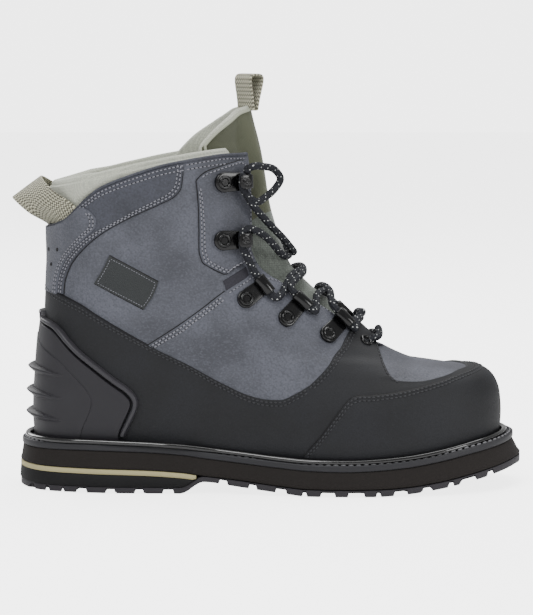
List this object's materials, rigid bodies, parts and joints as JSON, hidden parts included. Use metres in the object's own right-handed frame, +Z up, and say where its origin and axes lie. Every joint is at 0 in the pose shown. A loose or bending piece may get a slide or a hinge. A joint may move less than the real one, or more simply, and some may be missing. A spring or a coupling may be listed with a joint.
{
  "type": "wading boot",
  "caption": "Ankle-high laced wading boot for the right foot, with a hollow lasted upper, rubber toe rand, moulded heel counter, lace hooks and a lugged rubber sole.",
  "frame": {"origin": "on the floor under the middle of the heel, on a heel lug's flat foot", "axes": "+X to the toe, +Y to the inner side of the foot, +Z up"},
  "size_m": [0.3173, 0.1124, 0.2558],
  "materials": {
    "leather": "matt grey synthetic leather with a fine grain",
    "rand": "charcoal abrasion-proof coated fabric",
    "counter": "moulded dark grey rubbery plastic",
    "lining": "pale sage knitted lining",
    "tongue": "olive woven cloth with sage lower panel",
    "webbing": "pale woven webbing with dark ribs",
    "foam": "brown-black moulded foam",
    "stripe": "khaki rubber stripe",
    "lift": "black rubber lift",
    "tread": "grey rubber tread",
    "welt": "grey stitched welt strip",
    "bead": "glossy black bead",
    "metal": "gloss black painted metal",
    "lace": "charcoal braided lace with white flecks",
    "label": "bare grey-green patch"
  },
  "bodies": {
    "root": {"outsole": "tread", "heel_lift": "lift", "heel_stripe": "stripe", "midsole": "foam", "welt": "welt", "welt_bead": "bead", "insole": "lining", "upper": "leather", "rand": "rand", "toe_cap": "rand", "heel_counter": "counter", "heel_counter_rim": "counter", "collar_cuff": "lining", "eyestay_outer": "leather", "eyestay_inner": "leather", "label_patch": "label", "tongue": "tongue", "tongue_loop": "webbing", "heel_loop": "webbing", "lace_bar": "lace", "lace_crossing_1": "lace", "lace_crossing_2": "lace", "lace_crossing_3": "lace", "lace_crossing_4": "lace", "lace_riser_outer": "lace", "lace_riser_inner": "lace", "lace_loop": "lace", "lace_eyelet_outer": "metal", "lace_hook_outer_1": "metal", "lace_hook_outer_2": "metal", "lace_guide_outer_1": "metal", "lace_guide_outer_2": "metal", "lace_guide_outer_3": "metal", "lace_eyelet_inner": "metal", "lace_hook_inner_1": "metal", "lace_hook_inner_2": "metal", "lace_guide_inner_1": "metal", "lace_guide_inner_2": "metal", "lace_guide_inner_3": "metal"}
  },
  "joints": []
}
